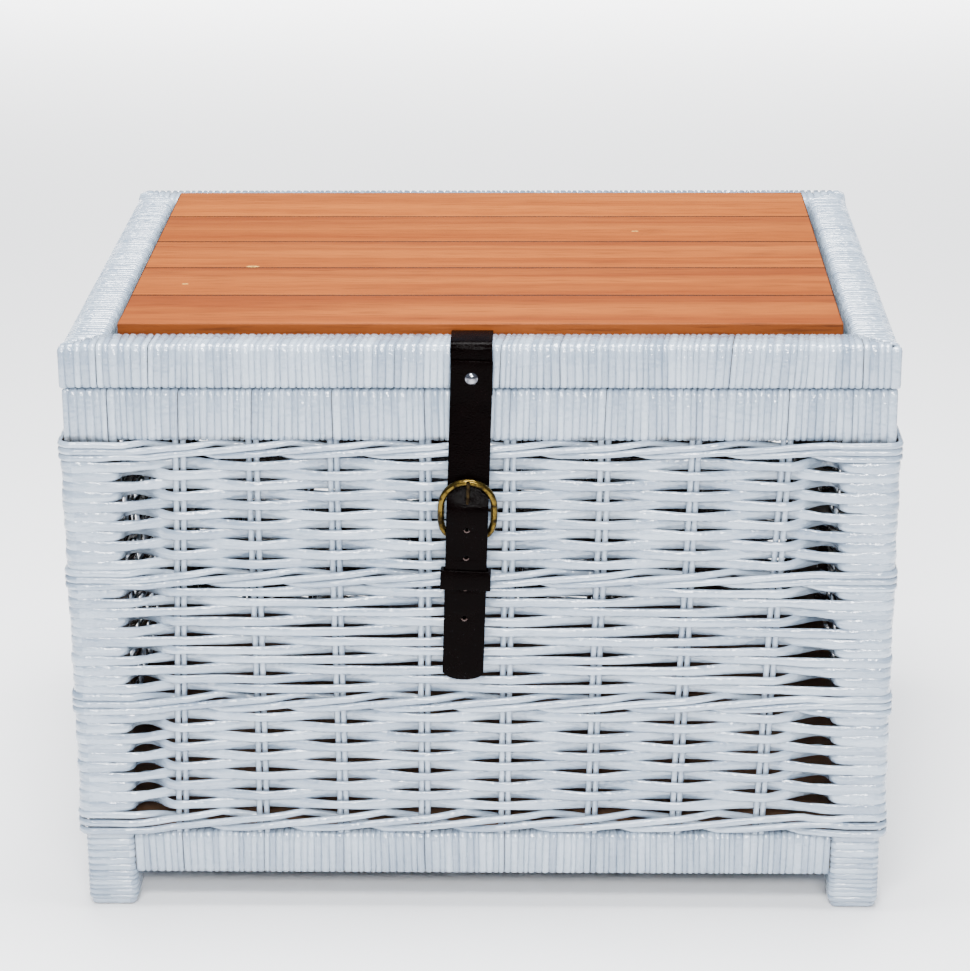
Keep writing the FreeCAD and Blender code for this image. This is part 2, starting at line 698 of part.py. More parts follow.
KEEPER_DEEP = "keeper_front - keeper_back"
KEEPER_Y = "-(keeper_front + keeper_back) / 2"
keeper_outside = block("keeper_outside", ("keeper_width", KEEPER_DEEP, "keeper_height"),
                       ("0", KEEPER_Y, "-keeper_drop"))
keeper_inside = block("keeper_inside",
                      ("keeper_width - 2 * keeper_side", f"{KEEPER_DEEP} - 2 * keeper_leather", "keeper_height"),
                      ("0", KEEPER_Y, "-keeper_drop"))
keep(on_the_front(cut("keeper_loop", keeper_outside, [keeper_inside]), lean=True), "strap_keeper")

# ---------------------------------------------------------------- checks and files

doc.recompute()
failed = [thing.Name for thing in doc.Objects if {"Invalid", "Error"} & set(thing.State)]
failed += [part.Label for part in parts if part.Shape.isNull() or not part.Shape.isValid()]
if failed:
    raise RuntimeError(f"these did not build: {failed}")

whole = FreeCAD.BoundBox()
for part in parts:
    whole.add(part.Shape.BoundBox)
    part.Shape.exportStep(f"parts/{part.Label}.step")
print(len(parts), "sub-parts, from", [round(v, 2) for v in (whole.XMin, whole.YMin, whole.ZMin)],
      "to", [round(v, 2) for v in (whole.XMax, whole.YMax, whole.ZMax)])
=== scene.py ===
"""Looks of a wicker storage trunk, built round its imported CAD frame: cane wound on the rails and legs,
woven walls, five oiled slats in the lid, and a glazed leather strap with an antique brass buckle."""
import json
import math

import bpy
import numpy as np
from mathutils import Matrix, Vector

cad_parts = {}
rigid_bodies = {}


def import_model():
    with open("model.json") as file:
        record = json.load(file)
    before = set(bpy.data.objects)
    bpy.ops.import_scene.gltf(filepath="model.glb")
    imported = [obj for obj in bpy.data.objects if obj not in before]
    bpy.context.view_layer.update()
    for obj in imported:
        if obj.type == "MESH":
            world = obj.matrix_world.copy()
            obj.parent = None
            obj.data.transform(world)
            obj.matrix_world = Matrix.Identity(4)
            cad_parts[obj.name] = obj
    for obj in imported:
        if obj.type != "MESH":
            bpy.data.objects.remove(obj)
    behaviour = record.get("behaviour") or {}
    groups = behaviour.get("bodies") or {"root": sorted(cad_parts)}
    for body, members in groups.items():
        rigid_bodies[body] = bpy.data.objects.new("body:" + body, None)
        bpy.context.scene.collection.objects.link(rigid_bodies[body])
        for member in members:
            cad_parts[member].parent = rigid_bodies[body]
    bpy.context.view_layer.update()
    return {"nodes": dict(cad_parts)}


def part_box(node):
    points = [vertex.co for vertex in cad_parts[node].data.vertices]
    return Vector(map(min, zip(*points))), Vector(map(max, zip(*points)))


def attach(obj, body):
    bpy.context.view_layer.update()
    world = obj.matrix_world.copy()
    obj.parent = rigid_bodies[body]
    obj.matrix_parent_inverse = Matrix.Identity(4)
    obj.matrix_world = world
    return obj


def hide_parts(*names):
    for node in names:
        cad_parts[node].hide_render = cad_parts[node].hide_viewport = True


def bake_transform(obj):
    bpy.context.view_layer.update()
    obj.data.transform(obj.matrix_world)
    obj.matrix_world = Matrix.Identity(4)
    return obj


for leftover in list(bpy.data.objects):
    bpy.data.objects.remove(leftover)

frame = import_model()

MM = 0.001
UP = np.array((0.0, 0.0, 1.0))
SIDES = ("front", "right", "rear", "left")
chance = np.random.default_rng(7)


def span(node):
    """Lowest and highest corner of a CAD node, in millimetres."""
    low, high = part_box(node)
    return np.array(low) / MM, np.array(high) / MM


# ---------------------------------------------------------------- materials

def linear(colour):
    """Linear colour of an sRGB hex value."""
    parts = [int(colour[i:i + 2], 16) / 255 for i in (0, 2, 4)]
    return [p / 12.92 if p <= 0.04045 else ((p + 0.055) / 1.055) ** 2.4 for p in parts] + [1.0]


def add(tree, kind, inputs=None, **settings):
    """Add a shader node, set it, and give each input a number, a colour or a link."""
    node = tree.nodes.new("ShaderNode" + kind)
    for name, value in settings.items():
        setattr(node, name, value)
    for socket, value in (inputs or {}).items():
        if isinstance(value, bpy.types.NodeSocket):
            tree.links.new(value, node.inputs[socket])
        else:
            node.inputs[socket].default_value = value
    return node


def finish_of(name):
    """A new material and its node tree, emptied but for its output."""
    material = bpy.data.materials.new(name)
    material.use_nodes = True
    tree = material.node_tree
    for node in [n for n in tree.nodes if n.type != "OUTPUT_MATERIAL"]:
        tree.nodes.remove(node)
    return material, tree


def coated(material, shader):
    """The material, with its shader linked to its output."""
    tree = material.node_tree
    tree.links.new(shader.outputs[0], next(n for n in tree.nodes if n.type == "OUTPUT_MATERIAL").inputs[0])
    return material


def patches(tree, place, scale, start, full, most=1.0, detail=4.0):
    """Soft patches in a finish, from none where the noise is at start to most where it is full."""
    cloud = add(tree, "TexNoise", {0: place, "Scale": scale, "Detail": detail}).outputs[0]
    return add(tree, "MapRange", {0: cloud, 1: start, 2: full, 3: 0.0, 4: most}).outputs[0]


def strip(tree, value, middle, end, full, **settings):
    """A strip across a coordinate, whole within full of its middle and gone at its ends."""
    away = add(tree, "Math", {0: value, 1: middle}, operation="SUBTRACT").outputs[0]
    away = add(tree, "Math", {0: away}, operation="ABSOLUTE").outputs[0]
    return add(tree, "MapRange", {0: away, 1: end, 2: full, 3: 0.0, 4: 1.0}, **settings).outputs[0]


def enamelled_cane(name, groove_mm, crease, inner_face, low_edge_mm=None):
    """Rattan cane under sprayed gloss enamel: a wet-looking cool white skin with the cane's long grooves
    showing through, grey dust mixed with painted shade in the creases, and dark bare cane on any face that
    the spray can't reach.
    crease is the middle and the half width of the strip of dust and painted shade, and inner_face the two
    ends of the bare one, as shares of the way round the strand."""
    material, tree = finish_of(name)
    along = add(tree, "UVMap", uv_map="strand").outputs[0]
    split = add(tree, "SeparateXYZ", {0: along})
    place = add(tree, "TexCoord").outputs["Object"]
    # long grooves, about 40 mm along the strand and groove_mm across it
    stretched = add(tree, "Mapping", {0: along, "Scale": (25, 7.0 / groove_mm, 1)}).outputs[0]
    grooves = add(tree, "TexNoise", {0: stretched, "Scale": 1.0, "Detail": 3.0}).outputs[0]
    # each strand and each stretch of it takes the enamel a little differently
    slow = add(tree, "Mapping", {0: along, "Scale": (9, 0.5, 1)}).outputs[0]
    tone = add(tree, "TexNoise", {0: slow, "Scale": 1.0, "Detail": 2.0}).outputs[0]
    tone = add(tree, "MapRange", {0: tone, 1: 0.35, 2: 0.65, 3: 0.0, 4: 1.0}).outputs[0]
    skin = add(tree, "Mix", {0: tone, 6: linear(SHADE), 7: linear(WHITE)}, data_type="RGBA").outputs[2]
    # dust with painted shade: in the crease beside the next strand, patchy along it
    patch = patches(tree, place, 70.0, 0.45, 0.65, 0.8)
    middle, reach = crease
    edge = strip(tree, split.outputs[1], middle, reach, 0.0, interpolation_type="SMOOTHSTEP")
    if low_edge_mm:
        # dust and painted shade also lie along the lower arris of the rail
        height = add(tree, "SeparateXYZ", {0: place}).outputs[2]
        lower = strip(tree, height, low_edge_mm * MM, 5 * MM, 1 * MM, interpolation_type="SMOOTHSTEP")
        edge = add(tree, "Math", {0: edge, 1: lower}, operation="MAXIMUM").outputs[0]
    # painted shade: the dust colour is laid in the creases and under the rail, where shade falls, as well as
    # for real dust
    dust_and_shade = add(tree, "Math", {0: patch, 1: edge}, operation="MULTIPLY").outputs[0]
    skin = add(tree, "Mix", {0: dust_and_shade, 6: skin, 7: linear(CREASE_DUST_AND_SHADE)}, data_type="RGBA").outputs[2]
    if inner_face:
        low, high = inner_face
        hidden = strip(tree, split.outputs[1], (low + high) / 2, (high - low) / 2, (high - low) / 2 - 0.05)
        skin = add(tree, "Mix", {0: hidden, 6: skin, 7: linear(BARE)}, data_type="RGBA").outputs[2]
    grain = add(tree, "Bump", {"Height": grooves, "Strength": 0.4, "Distance": 0.0006}).outputs[0]
    # the enamel pools and sags a few millimetres at a time, which breaks its shine into glints
    pools = add(tree, "Mapping", {0: place, "Scale": (140, 140, 260)}).outputs[0]
    pools = add(tree, "TexNoise", {0: pools, "Scale": 1.0, "Detail": 2.0}).outputs[0]
    wet = add(tree, "Bump",
              {"Height": pools, "Strength": 0.7, "Distance": 0.0016, "Normal": grain}).outputs[0]
    rough = add(tree, "MapRange", {0: grooves, 1: 0.3, 2: 0.7, 3: 0.16, 4: 0.36}).outputs[0]
    shader = add(tree, "BsdfPrincipled",
                 {"Base Color": skin, "Roughness": rough, "Normal": wet, "Coat Normal": wet, "IOR": 1.5,
                  "Specular IOR Level": 0.8, "Coat Weight": 1.0, "Coat Roughness": 0.08})
    return coated(material, shader)


def painted_wood():
    """Planed softwood behind the cane and under the lid: dark grey brown, in soft patches."""
    material, tree = finish_of("sprayed_softwood")
    place = add(tree, "TexCoord").outputs["Object"]
    patch = patches(tree, place, 40.0, 0.4, 0.65)
    colour = add(tree, "Mix", {0: patch, 6: linear("473f36"), 7: linear("2b2620")},
                 data_type="RGBA").outputs[2]
    shader = add(tree, "BsdfPrincipled", {"Base Color": colour, "Roughness": 0.6})
    return coated(material, shader)


def stained_plywood():
    """Plywood floor of the trunk, stained dark: flat, open-grained, with faint long streaks."""
    material, tree = finish_of("stained_plywood")
    place = add(tree, "TexCoord").outputs["Object"]
    streak = add(tree, "Mapping", {0: place, "Scale": (6, 160, 40)}).outputs[0]
    grain = add(tree, "TexNoise", {0: streak, "Scale": 1.0, "Detail": 4.0}).outputs[0]
    colour = add(tree, "Mix", {0: grain, 6: linear("3b2a1d"), 7: linear("6a4c33")},
                 data_type="RGBA").outputs[2]
    bump = add(tree, "Bump", {"Height": grain, "Strength": 0.2, "Distance": 0.0005}).outputs[0]
    shader = add(tree, "BsdfPrincipled", {"Base Color": colour, "Roughness": 0.55, "Normal": bump})
    return coated(material, shader)


def meranti_tree(name, pale, deep, pore):
    """Meranti, planed and oiled: orange brown with fine dark pores along the board and a slow figure that
    drifts across it. No two boards share their figure or quite their colour."""
    material, tree = finish_of(name)
    place = add(tree, "TexCoord").outputs["Object"]
    where = add(tree, "SeparateXYZ", {0: place})
    board = add(tree, "Math", {0: where.outputs[1], 1: 0.0385}, operation="ADD").outputs[0]
    board = add(tree, "Math", {0: board, 1: 0.0775}, operation="DIVIDE").outputs[0]
    board = add(tree, "Math", {0: board}, operation="FLOOR").outputs[0]
    shift = add(tree, "CombineXYZ", {0: board, 2: board}).outputs[0]
    shift = add(tree, "VectorMath", {0: shift, "Scale": 3.7}, operation="SCALE").outputs[0]
    shifted = add(tree, "VectorMath", {0: place, 1: shift}, operation="ADD").outputs[0]
    figure = add(tree, "Mapping", {0: shifted, "Scale": (2.2, 55, 30)}).outputs[0]
    figure = add(tree, "TexNoise", {0: figure, "Scale": 1.0, "Detail": 5.0, "Distortion": 0.5}).outputs[0]
    figure = add(tree, "MapRange", {0: figure, 1: 0.3, 2: 0.7, 3: 0.0, 4: 1.0}).outputs[0]
    own = add(tree, "TexWhiteNoise", {"W": board}, noise_dimensions="1D").outputs[0]
    own = add(tree, "MapRange", {0: own, 1: 0.0, 2: 1.0, 3: -0.22, 4: 0.22}).outputs[0]
    figure = add(tree, "Math", {0: figure, 1: own}, operation="ADD", use_clamp=True).outputs[0]
    pores = add(tree, "Mapping", {0: shifted, "Scale": (26, 900, 500)}).outputs[0]
    pores = add(tree, "TexNoise", {0: pores, "Scale": 1.0, "Detail": 2.0}).outputs[0]
    pores = add(tree, "MapRange", {0: pores, 1: 0.5, 2: 0.72, 3: 0.0, 4: 0.6}).outputs[0]
    colour = add(tree, "Mix", {0: figure, 6: linear(deep), 7: linear(pale)}, data_type="RGBA").outputs[2]
    colour = add(tree, "Mix", {0: pores, 6: colour, 7: linear(pore)}, data_type="RGBA").outputs[2]
    return material, tree, place, colour, pores


def oiled_meranti():
    """The face of the boards, with three small pale knots, each with a dark heart."""
    material, tree, place, colour, pores = meranti_tree("oiled_meranti", "924f1a", "70340d", "451b08")
    for x, y, long, wide in ((-177.6, -34.5, 4.5, 1.8), (-224.0, -84.0, 2.2, 1.2), (118.0, 72.0, 2.6, 1.2)):
        local = add(tree, "Mapping", {0: place, "Location": (-x * MM, -y * MM, -0.45)}).outputs[0]
        local = add(tree, "Mapping", {0: local, "Scale": (1000 / long, 1000 / wide, 0.0)}).outputs[0]
        away = add(tree, "VectorMath", {0: local}, operation="LENGTH").outputs[1]
        for start, full, most, tint in ((1.25, 0.85, 0.8, "c79b4e"), (0.5, 0.25, 0.9, "35200f")):
            spot = add(tree, "MapRange", {0: away, 1: start, 2: full, 3: 0.0, 4: most}).outputs[0]
            colour = add(tree, "Mix", {0: spot, 6: colour, 7: linear(tint)}, data_type="RGBA").outputs[2]
    bump = add(tree, "Bump", {"Height": pores, "Strength": 0.3, "Distance": 0.0003}).outputs[0]
    shader = add(tree, "BsdfPrincipled",
                 {"Base Color": colour, "Roughness": 0.5, "Normal": bump, "IOR": 1.5,
                  "Specular IOR Level": 0.12})
    return coated(material, shader)


# the front edge of the first board lies in front of this, and the joints behind it
CLEAN_TO = -0.18


def meranti_arris():
    """The arrises and edges of the boards, where the oil has soaked in: brown on the front edge of the
    lid, and nearly black in the joints between the boards and at their ends."""
    material, tree, place, colour, pores = meranti_tree("oiled_meranti_edge", "8a4618", "64300d", "3a1a08")
    across = add(tree, "SeparateXYZ", {0: place}).outputs[1]
    joint = add(tree, "MapRange", {0: across, 1: CLEAN_TO, 2: CLEAN_TO + 0.01, 3: 0.0, 4: 0.85}).outputs[0]
    colour = add(tree, "Mix", {0: joint, 6: colour, 7: linear("1c0b04")}, data_type="RGBA").outputs[2]
    shader = add(tree, "BsdfPrincipled",
                 {"Base Color": colour, "Roughness": 0.55, "Specular IOR Level": 0.1})
    return coated(material, shader)


def strap_leather():
    """Vegetable-tanned strap leather, dyed almost black and glazed: a faint sheen broken by fine pebbled
    grain."""
    material, tree = finish_of("glazed_strap_leather")
    place = add(tree, "TexCoord").outputs["Object"]
    pebble = add(tree, "TexVoronoi", {0: place, "Scale": 900.0}).outputs[0]
    cloud = add(tree, "TexNoise", {0: place, "Scale": 90.0, "Detail": 4.0}).outputs[0]
    height = add(tree, "Math", {0: pebble, 1: cloud}, operation="ADD").outputs[0]
    bump = add(tree, "Bump", {"Height": height, "Strength": 0.35, "Distance": 0.0004}).outputs[0]
    colour = add(tree, "Mix", {0: cloud, 6: linear("010000"), 7: linear("040101")},
                 data_type="RGBA").outputs[2]
    rough = add(tree, "MapRange", {0: cloud, 1: 0.3, 2: 0.7, 3: 0.14, 4: 0.34}).outputs[0]
    shader = add(tree, "BsdfPrincipled",
                 {"Base Color": colour, "Roughness": rough, "Normal": bump, "Specular IOR Level": 0.02})
    return coated(material, shader)


def leather_edge():
    """The raw fibres of the strap where a hole was punched, with a painted highlight where each lower rim
    would catch the light: dull red brown against the black face.
    """
    material, tree = finish_of("hole_lip_fibre_and_painted_glint")
    place = add(tree, "TexCoord").outputs["Object"]
    fibre = add(tree, "TexNoise", {0: place, "Scale": 1500.0, "Detail": 2.0}).outputs[0]
    colour = add(tree, "Mix", {0: fibre, 6: linear("241512"), 7: linear("46302b")},
                 data_type="RGBA").outputs[2]
    shader = add(tree, "BsdfPrincipled", {"Base Color": colour, "Roughness": 0.6})
    return coated(material, shader)


def metal(name, bright, dull, roughness, patch_mm):
    """A metal whose tarnish or wear comes in soft patches of patch_mm."""
    material, tree = finish_of(name)
    place = add(tree, "TexCoord").outputs["Object"]
    patch = patches(tree, place, 1000.0 / patch_mm, 0.4, 0.62, detail=5.0)
    colour = add(tree, "Mix", {0: patch, 6: linear(bright), 7: linear(dull)},
                 data_type="RGBA").outputs[2]
    rough = add(tree, "MapRange", {0: patch, 1: 0.0, 2: 1.0, 3: roughness, 4: roughness + 0.2}).outputs[0]
    shader = add(tree, "BsdfPrincipled", {"Base Color": colour, "Roughness": rough, "Metallic": 1.0})
    return coated(material, shader)


def enamelled_steel():
    """Pressed steel under the same white enamel: smooth, glossy, with dust in soft patches."""
    material, tree = finish_of("enamelled_steel")
    place = add(tree, "TexCoord").outputs["Object"]
    patch = patches(tree, place, 130.0, 0.45, 0.7)
    colour = add(tree, "Mix", {0: patch, 6: linear("dfe2e6"), 7: linear("b9b7b0")},
                 data_type="RGBA").outputs[2]
    shader = add(tree, "BsdfPrincipled", {"Base Color": colour, "Roughness": 0.28})
    return coated(material, shader)


# enamel where it lies thick and thin, dust mixed with painted shade, and bare cane
WHITE, SHADE, CREASE_DUST_AND_SHADE, BARE = "a6b4c3", "7b8b9e", "46423d", "26190f"
bound_cane = enamelled_cane("enamelled_binding_cane", 1.2, (0.0, 0.16), None, 372.5)
woven_cane = enamelled_cane("enamelled_flat_cane", 1.4, (0.77, 0.045), (0.3, 0.7))
round_cane = enamelled_cane("enamelled_round_cane", 1.6, (0.77, 0.05), (0.32, 0.68))
softwood, plywood = painted_wood(), stained_plywood()
meranti, meranti_edge = oiled_meranti(), meranti_arris()
leather, hole_lip_fibre_and_glint, white_steel = strap_leather(), leather_edge(), enamelled_steel()
# polished chrome: near mirror; antique brass: olive brown tarnish with worn yellow patches
chrome = metal("polished_chrome", "8f9096", "55565c", 0.07, 3.0)
brass = metal("antique_brass", "5c4b20", "191309", 0.18, 5.0)
dark_brass = metal("tarnished_brass", "2c2212", "120d07", 0.3, 2.0)


# ---------------------------------------------------------------- strands

def strand(path, section, up, closed=True):
    """Corners, faces and strand coordinates of a cane laid along a path. Its section is listed in
    (outward, up) order, one for the whole strand or one for each point of the path."""
    count = len(path)
    if closed:
        ahead = np.roll(path, -1, 0) - np.roll(path, 1, 0)
    else:
        ahead = np.gradient(path, axis=0)
    ahead /= np.linalg.norm(ahead, axis=1, keepdims=True)
    outward = np.cross(ahead, up)
    outward /= np.linalg.norm(outward, axis=1, keepdims=True)
    upright = np.cross(outward, ahead)
    section = np.broadcast_to(section, (count,) + np.shape(section)[-2:])
    corners = (path[:, None] + section[..., :1] * outward[:, None] + section[..., 1:] * upright[:, None])
    around = corners.shape[1]
    steps = count if closed else count - 1
    i, j = np.meshgrid(np.arange(steps), np.arange(around), indexing="ij")
    i2, j2 = (i + 1) % count, (j + 1) % around
    faces = np.stack((i * around + j, i2 * around + j, i2 * around + j2, i * around + j2), -1).reshape(-1, 4)
    step = np.linalg.norm(np.roll(path, -1, 0) - path, axis=1)
    length = np.concatenate(([0.0], np.cumsum(step))) * MM + chance.uniform(0, 50)
    u = np.stack((length[i], length[i + 1], length[i + 1], length[i]), -1).reshape(-1)
    v = np.stack((j, j, j + 1, j + 1), -1).reshape(-1) / around
    ends = []
    if not closed:
        ends = [list(range(around))[::-1], [steps * around + k for k in range(around)]]
    return corners.reshape(-1, 3), faces, np.stack((u, v), -1), ends


def piece_of(name, strands, material, body, slot, *nodes):
    """One mesh of many strands, in place, riding its body and standing for its CAD nodes."""
    corners, faces, coordinates, caps, base = [], [], [], [], 0
    for points, quads, uv, ends in strands:
        corners.append(points)
        faces.append(quads + base)
        coordinates.append(uv)
        caps += [[k + base for k in end] for end in ends]
        base += len(points)
    mesh = bpy.data.meshes.new(name)
    mesh.from_pydata((np.concatenate(corners) * MM).tolist(), [], np.concatenate(faces).tolist() + caps)
    flat = np.zeros((len(mesh.loops), 2), np.float32)
    uv = np.concatenate(coordinates)
    flat[:len(uv)] = uv
    mesh.uv_layers.new(name="strand").data.foreach_set("uv", flat.reshape(-1))
    mesh.polygons.foreach_set("use_smooth", np.ones(len(mesh.polygons), bool))
    mesh.materials.append(material)
    mesh.update()
    made = bpy.data.objects.new(name, mesh)
    bpy.context.scene.collection.objects.link(made)
    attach(made, body)
    if nodes:
        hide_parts(*nodes)
    return made


def curve_through(points, spacing):
    """Smooth open curve through points, with a point about every spacing millimetres."""
    points = np.asarray(points, float)
    before = np.vstack((2 * points[0] - points[1], points[:-1]))
    after = np.vstack((points[1:], 2 * points[-1] - points[-2]))
    laid = []
    for k in range(len(points) - 1):
        p0, p1, p2 = before[k], points[k], points[k + 1]
        p3 = after[k + 1]
        steps = max(1, math.ceil(np.linalg.norm(p2 - p1) / spacing))
        # centripetal spacing keeps a tight bend beside a long run from looping
        t0, t1 = 0.0, max(np.linalg.norm(p1 - p0), 1e-6) ** 0.5
        t2 = t1 + max(np.linalg.norm(p2 - p1), 1e-6) ** 0.5
        t3 = t2 + max(np.linalg.norm(p3 - p2), 1e-6) ** 0.5
        t = (t1 + (t2 - t1) * np.arange(steps) / steps)[:, None]
        a1 = (t1 - t) / (t1 - t0) * p0 + (t - t0) / (t1 - t0) * p1
        a2 = (t2 - t) / (t2 - t1) * p1 + (t - t1) / (t2 - t1) * p2
        a3 = (t3 - t) / (t3 - t2) * p2 + (t - t2) / (t3 - t2) * p3
        b1 = (t2 - t) / (t2 - t0) * a1 + (t - t0) / (t2 - t0) * a2
        b2 = (t3 - t) / (t3 - t1) * a2 + (t - t1) / (t3 - t1) * a3
        laid.append((t2 - t) / (t2 - t1) * b1 + (t - t1) / (t2 - t1) * b2)
    laid.append(points[-1:])
    return np.vstack(laid)


# ---------------------------------------------------------------- walls

STAKE_RADIUS = 2.0
middle_y = (span("top_rail_binding_front")[0][1] + span("top_rail_binding_rear")[1][1]) / 2
stake_x = span("stakes_right")[0][0] + STAKE_RADIUS
stake_y = middle_y - span("stakes_front")[0][1] - STAKE_RADIUS + 0.01
post_inner = span("post_front_left")[1][0]

# where the pairs of stakes stand at the foot and at the top of each wall, from the left as seen from outside
FOOT_OF_PAIRS = {"front": (-225, -164, -104, -43, 17, 82, 145, 207.5),
                 "rear": (-215, -151, -87, -22, 41, 104, 161, 220),
                 "left": (-155, -93, -31, 31, 93, 155), "right": (-155, -93, -31, 31, 93, 155)}
TOP_OF_PAIRS = {"front": (-216, -163, -105, -39, 22, 90, 155, 220),
                "rear": (-212, -148, -83, -20, 43, 105, 164, 223),
                "left": (-157, -94, -31, 32, 95, 157), "right": (-157, -95, -32, 31, 94, 156)}
FOOT_Z, TOP_Z = 70.0, 360.0
HALF = {"front": stake_x, "rear": stake_x, "left": stake_y, "right": stake_y}
TURN = {"front": 0, "right": 1, "rear": 2, "left": 3}


def pairs_at(side, z):
    """Where the pairs of stakes of a wall stand at a height: they spread a little towards the top."""
    share = (z - FOOT_Z) / (TOP_Z - FOOT_Z)
    foot, top = np.array(FOOT_OF_PAIRS[side], float), np.array(TOP_OF_PAIRS[side], float)
    return foot + (top - foot) * share


def on_wall(side, s, out, z):
    """A point s along a wall from its middle, to the right as seen from outside, and out from the
    stakes."""
    reach = (stake_y if side in ("front", "rear") else stake_x) + out
    x, y = ((s, -reach), (reach, s), (-s, reach), (-reach, -s))[TURN[side]]
    return (x, y + middle_y, z)


# a row that passes behind the next pair goes round the inner edge of the post: (distance past the edge, out)
HOOK = ((-9, 6.6), (-2.4, 5.8), (1.2, 3.6), (2.75, -0.8), (4.2, -6.6), (8.2, -10.8), (14.5, -11.2))
# how far out from the stakes a flat row lies in front of them, behind them and on the posts
IN_FRONT, BEHIND, ON_POST = 3.6, -3.45, 6.8
POST_ARC = 8.0


def row_path(z, behind, front_out, rear_out, post_out, lift, bow, spacing=4.2):
    """Closed path of one row of weaving, and how far out it lies at each point. behind(side, pair) tells
    where it passes inside the stakes, with the posts counted as the pairs before the first and after the
    last. lift(side, along, out) and bow(side, along) add height."""
    path = []
    for side in SIDES:
        half = HALF[side]
        reach = half + post_out
        pairs = pairs_at(side, z)
        count = len(pairs)
        edge = half - (stake_x + post_inner)
        points = [(-reach + POST_ARC, post_out), (-half + 12, post_out)]
        if behind(side, -1):
            points += [(-edge + d, o) for d, o in HOOK]
        else:
            points += [(-edge - 1.0, post_out), (-edge + 6, post_out - 0.6)]
        for k, s in enumerate(pairs):
            inside = behind(side, k)
            o = rear_out if inside else front_out
            points += [(s - 5.5, o), (s + 5.5, o)]
        if behind(side, count):
            points += [(edge - d, o) for d, o in HOOK[::-1]]
        else:
            points += [(edge - 6, post_out - 0.6), (edge + 1.0, post_out)]
        points += [(half - 12, post_out), (reach - POST_ARC, post_out)]
        points = curve_through(points, spacing)
        for s, o in points:
            path.append((*on_wall(side, s, o, z + lift(side, s, o) + bow(side, s)), o))
        at = (reach - POST_ARC, post_out - POST_ARC)
        for turn in (22.5, 45, 67.5):
            s = at[0] + POST_ARC * math.sin(math.radians(turn))
            o = at[1] + POST_ARC * math.cos(math.radians(turn))
            path.append((*on_wall(side, s, o, z + lift(side, reach, o) + bow(side, s)), post_out))
    path = np.array(path)
    return path[:, :3], path[:, 3]


def oval(half_thick, half_high, count, squareness=2.5, phase=0.0):
    """Section of a cane: an oval, squarer as squareness grows, from its outer face round over the top."""
    turn = np.arange(count) * 2 * math.pi / count + phase
    c, s = np.cos(turn), np.sin(turn)
    p = 2 / squareness
    return np.stack((half_thick * np.sign(c) * np.abs(c) ** p, half_high * np.sign(s) * np.abs(s) ** p), -1)


def wander(amount, waves=5):
    """A slow seeded drift round the trunk, different on every row."""
    phases = chance.uniform(0, 2 * math.pi, (4, waves))
    sizes = chance.uniform(0.3, 1.0, (4, waves))
    sizes *= amount / sizes.sum(1, keepdims=True)

    def drift(side, s):
        n = TURN[side]
        taper = max(0.0, 1 - (abs(s) / HALF[side]) ** 6)
        return taper * sum(sizes[n][w] * math.sin((w + 1) * s / 48 + phases[n][w]) for w in range(waves))
    return drift


def woven_band(name, rows, pattern, wander_mm):
    """Rows of flat cane, each a little uneven in height and place, that close up on each other."""
    low, high = span(name)
    low, high = low[2] - 0.8, high[2] + 0.8
    pitch = (high - low) / rows
    strands = []
    for row in range(rows):
        z = low + (row + 0.5) * pitch + chance.uniform(-0.35, 0.35)
        proud = ON_POST + chance.uniform(-0.6, 0.6)
        path, out = row_path(z, lambda side, k: pattern(row, side, k), IN_FRONT, BEHIND, proud,
                             lambda side, s, o: 0.0, wander(wander_mm))
        # the cane lies flatter inside the stakes and rolls a little narrower where it bows outside them
        face = np.interp(out, (-3.45, 0.0, 3.6, 5.0, 6.5), (1.14, 1.06, 0.86, 0.98, 1.03))
        # the rear and the sides are packed closer, so that little light comes through them
        face[path[:, 1] > middle_y + stake_y - 16] *= 1.36
        face[np.abs(path[:, 0]) > stake_x - 16] *= 1.16
        step = np.arange(len(path))
        face *= 1 + 0.05 * np.sin(step * 0.21 + row) + 0.03 * np.sin(step * 0.57 + 2 * row)
        half_high = pitch / 2 + chance.uniform(-0.15, 0.35)
        section = oval(1.5, half_high, 12, 2.15)[None] * np.stack((np.ones(len(path)), face), -1)[:, None]
        strands.append(strand(path, section, UP))
    return piece_of(name + "_cane", strands, woven_cane, "trunk", "woven_cane", name)


# each weave tells whether a row passes inside pair k of a wall
def plain(row, side, k):
    return (row + k + (side in ("rear", "left"))) % 2 == 1


def plain_upper(row, side, k):
    return not plain(row, side, k)


def two_over_one(row, side, k):
    return (row + k + TURN[side]) % 3 == 0


woven_band("weave_lower", 10, plain, 0.5)
woven_band("weave_middle", 11, two_over_one, 0.6)
woven_band("weave_upper", 11, plain_upper, 0.5)

# pairs are counted on round the trunk, so that the three canes of a wale keep their order at the corners
FIRST_PAIR = {"left": 0, "front": 6, "right": 14, "rear": 20}


